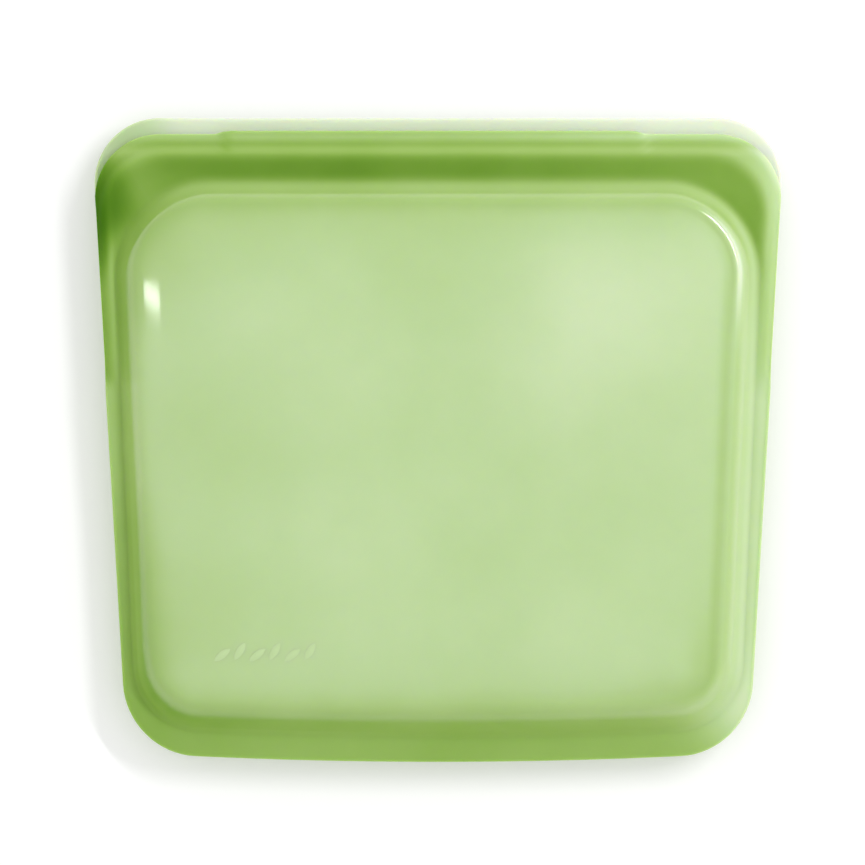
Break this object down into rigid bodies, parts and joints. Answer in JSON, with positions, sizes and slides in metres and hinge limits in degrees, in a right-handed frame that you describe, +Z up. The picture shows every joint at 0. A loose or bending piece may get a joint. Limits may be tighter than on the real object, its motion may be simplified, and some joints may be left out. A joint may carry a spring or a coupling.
{
  "type": "reusable silicone bag",
  "caption": "Flat reusable silicone food bag: two moulded shells bonded on three edges, with a pinch seal around the mouth, a free front flap and pull lips.",
  "frame": {"origin": "under the middle of the bag, on the surface that its back panel lies on", "axes": "+X along the mouth, +Y towards the mouth, +Z up out of the front panel"},
  "size_m": [0.1902, 0.1782, 0.024],
  "materials": {
    "front_silicone": "satin translucent leaf-green silicone",
    "back_silicone": "satin translucent pale green silicone",
    "seam_silicone": "satin translucent green silicone bond",
    "seal_silicone": "satin deeper green silicone"
  },
  "bodies": {
    "bag": {"back_panel": "back_silicone", "front_panel": "front_silicone", "edge_seam": "seam_silicone", "seal_channel": "seal_silicone"},
    "flap": {"front_flap": "front_silicone", "seal_rib": "seal_silicone"},
    "front_lip": {"front_lip": "front_silicone"},
    "back_lip": {"back_lip": "back_silicone"}
  },
  "joints": [
    {"name": "flap_open", "type": "hinge", "parent": "bag", "child": "flap", "pos_m": [0, 0.01635, 0.024], "axis": [1, 0, 0], "range_deg": [0, 45], "stiffness_Nm_per_rad": 0.02},
    {"name": "front_lip_peel", "type": "hinge", "parent": "flap", "child": "front_lip", "pos_m": [0, 0.07975, 0.013], "axis": [1, 0, 0], "range_deg": [0, 60], "stiffness_Nm_per_rad": 0.0005},
    {"name": "back_lip_peel", "type": "hinge", "parent": "bag", "child": "back_lip", "pos_m": [0, 0.08015, 0.007], "axis": [-1, 0, 0], "range_deg": [0, 35], "stiffness_Nm_per_rad": 0.004, "springref_deg": -2.86}
  ]
}
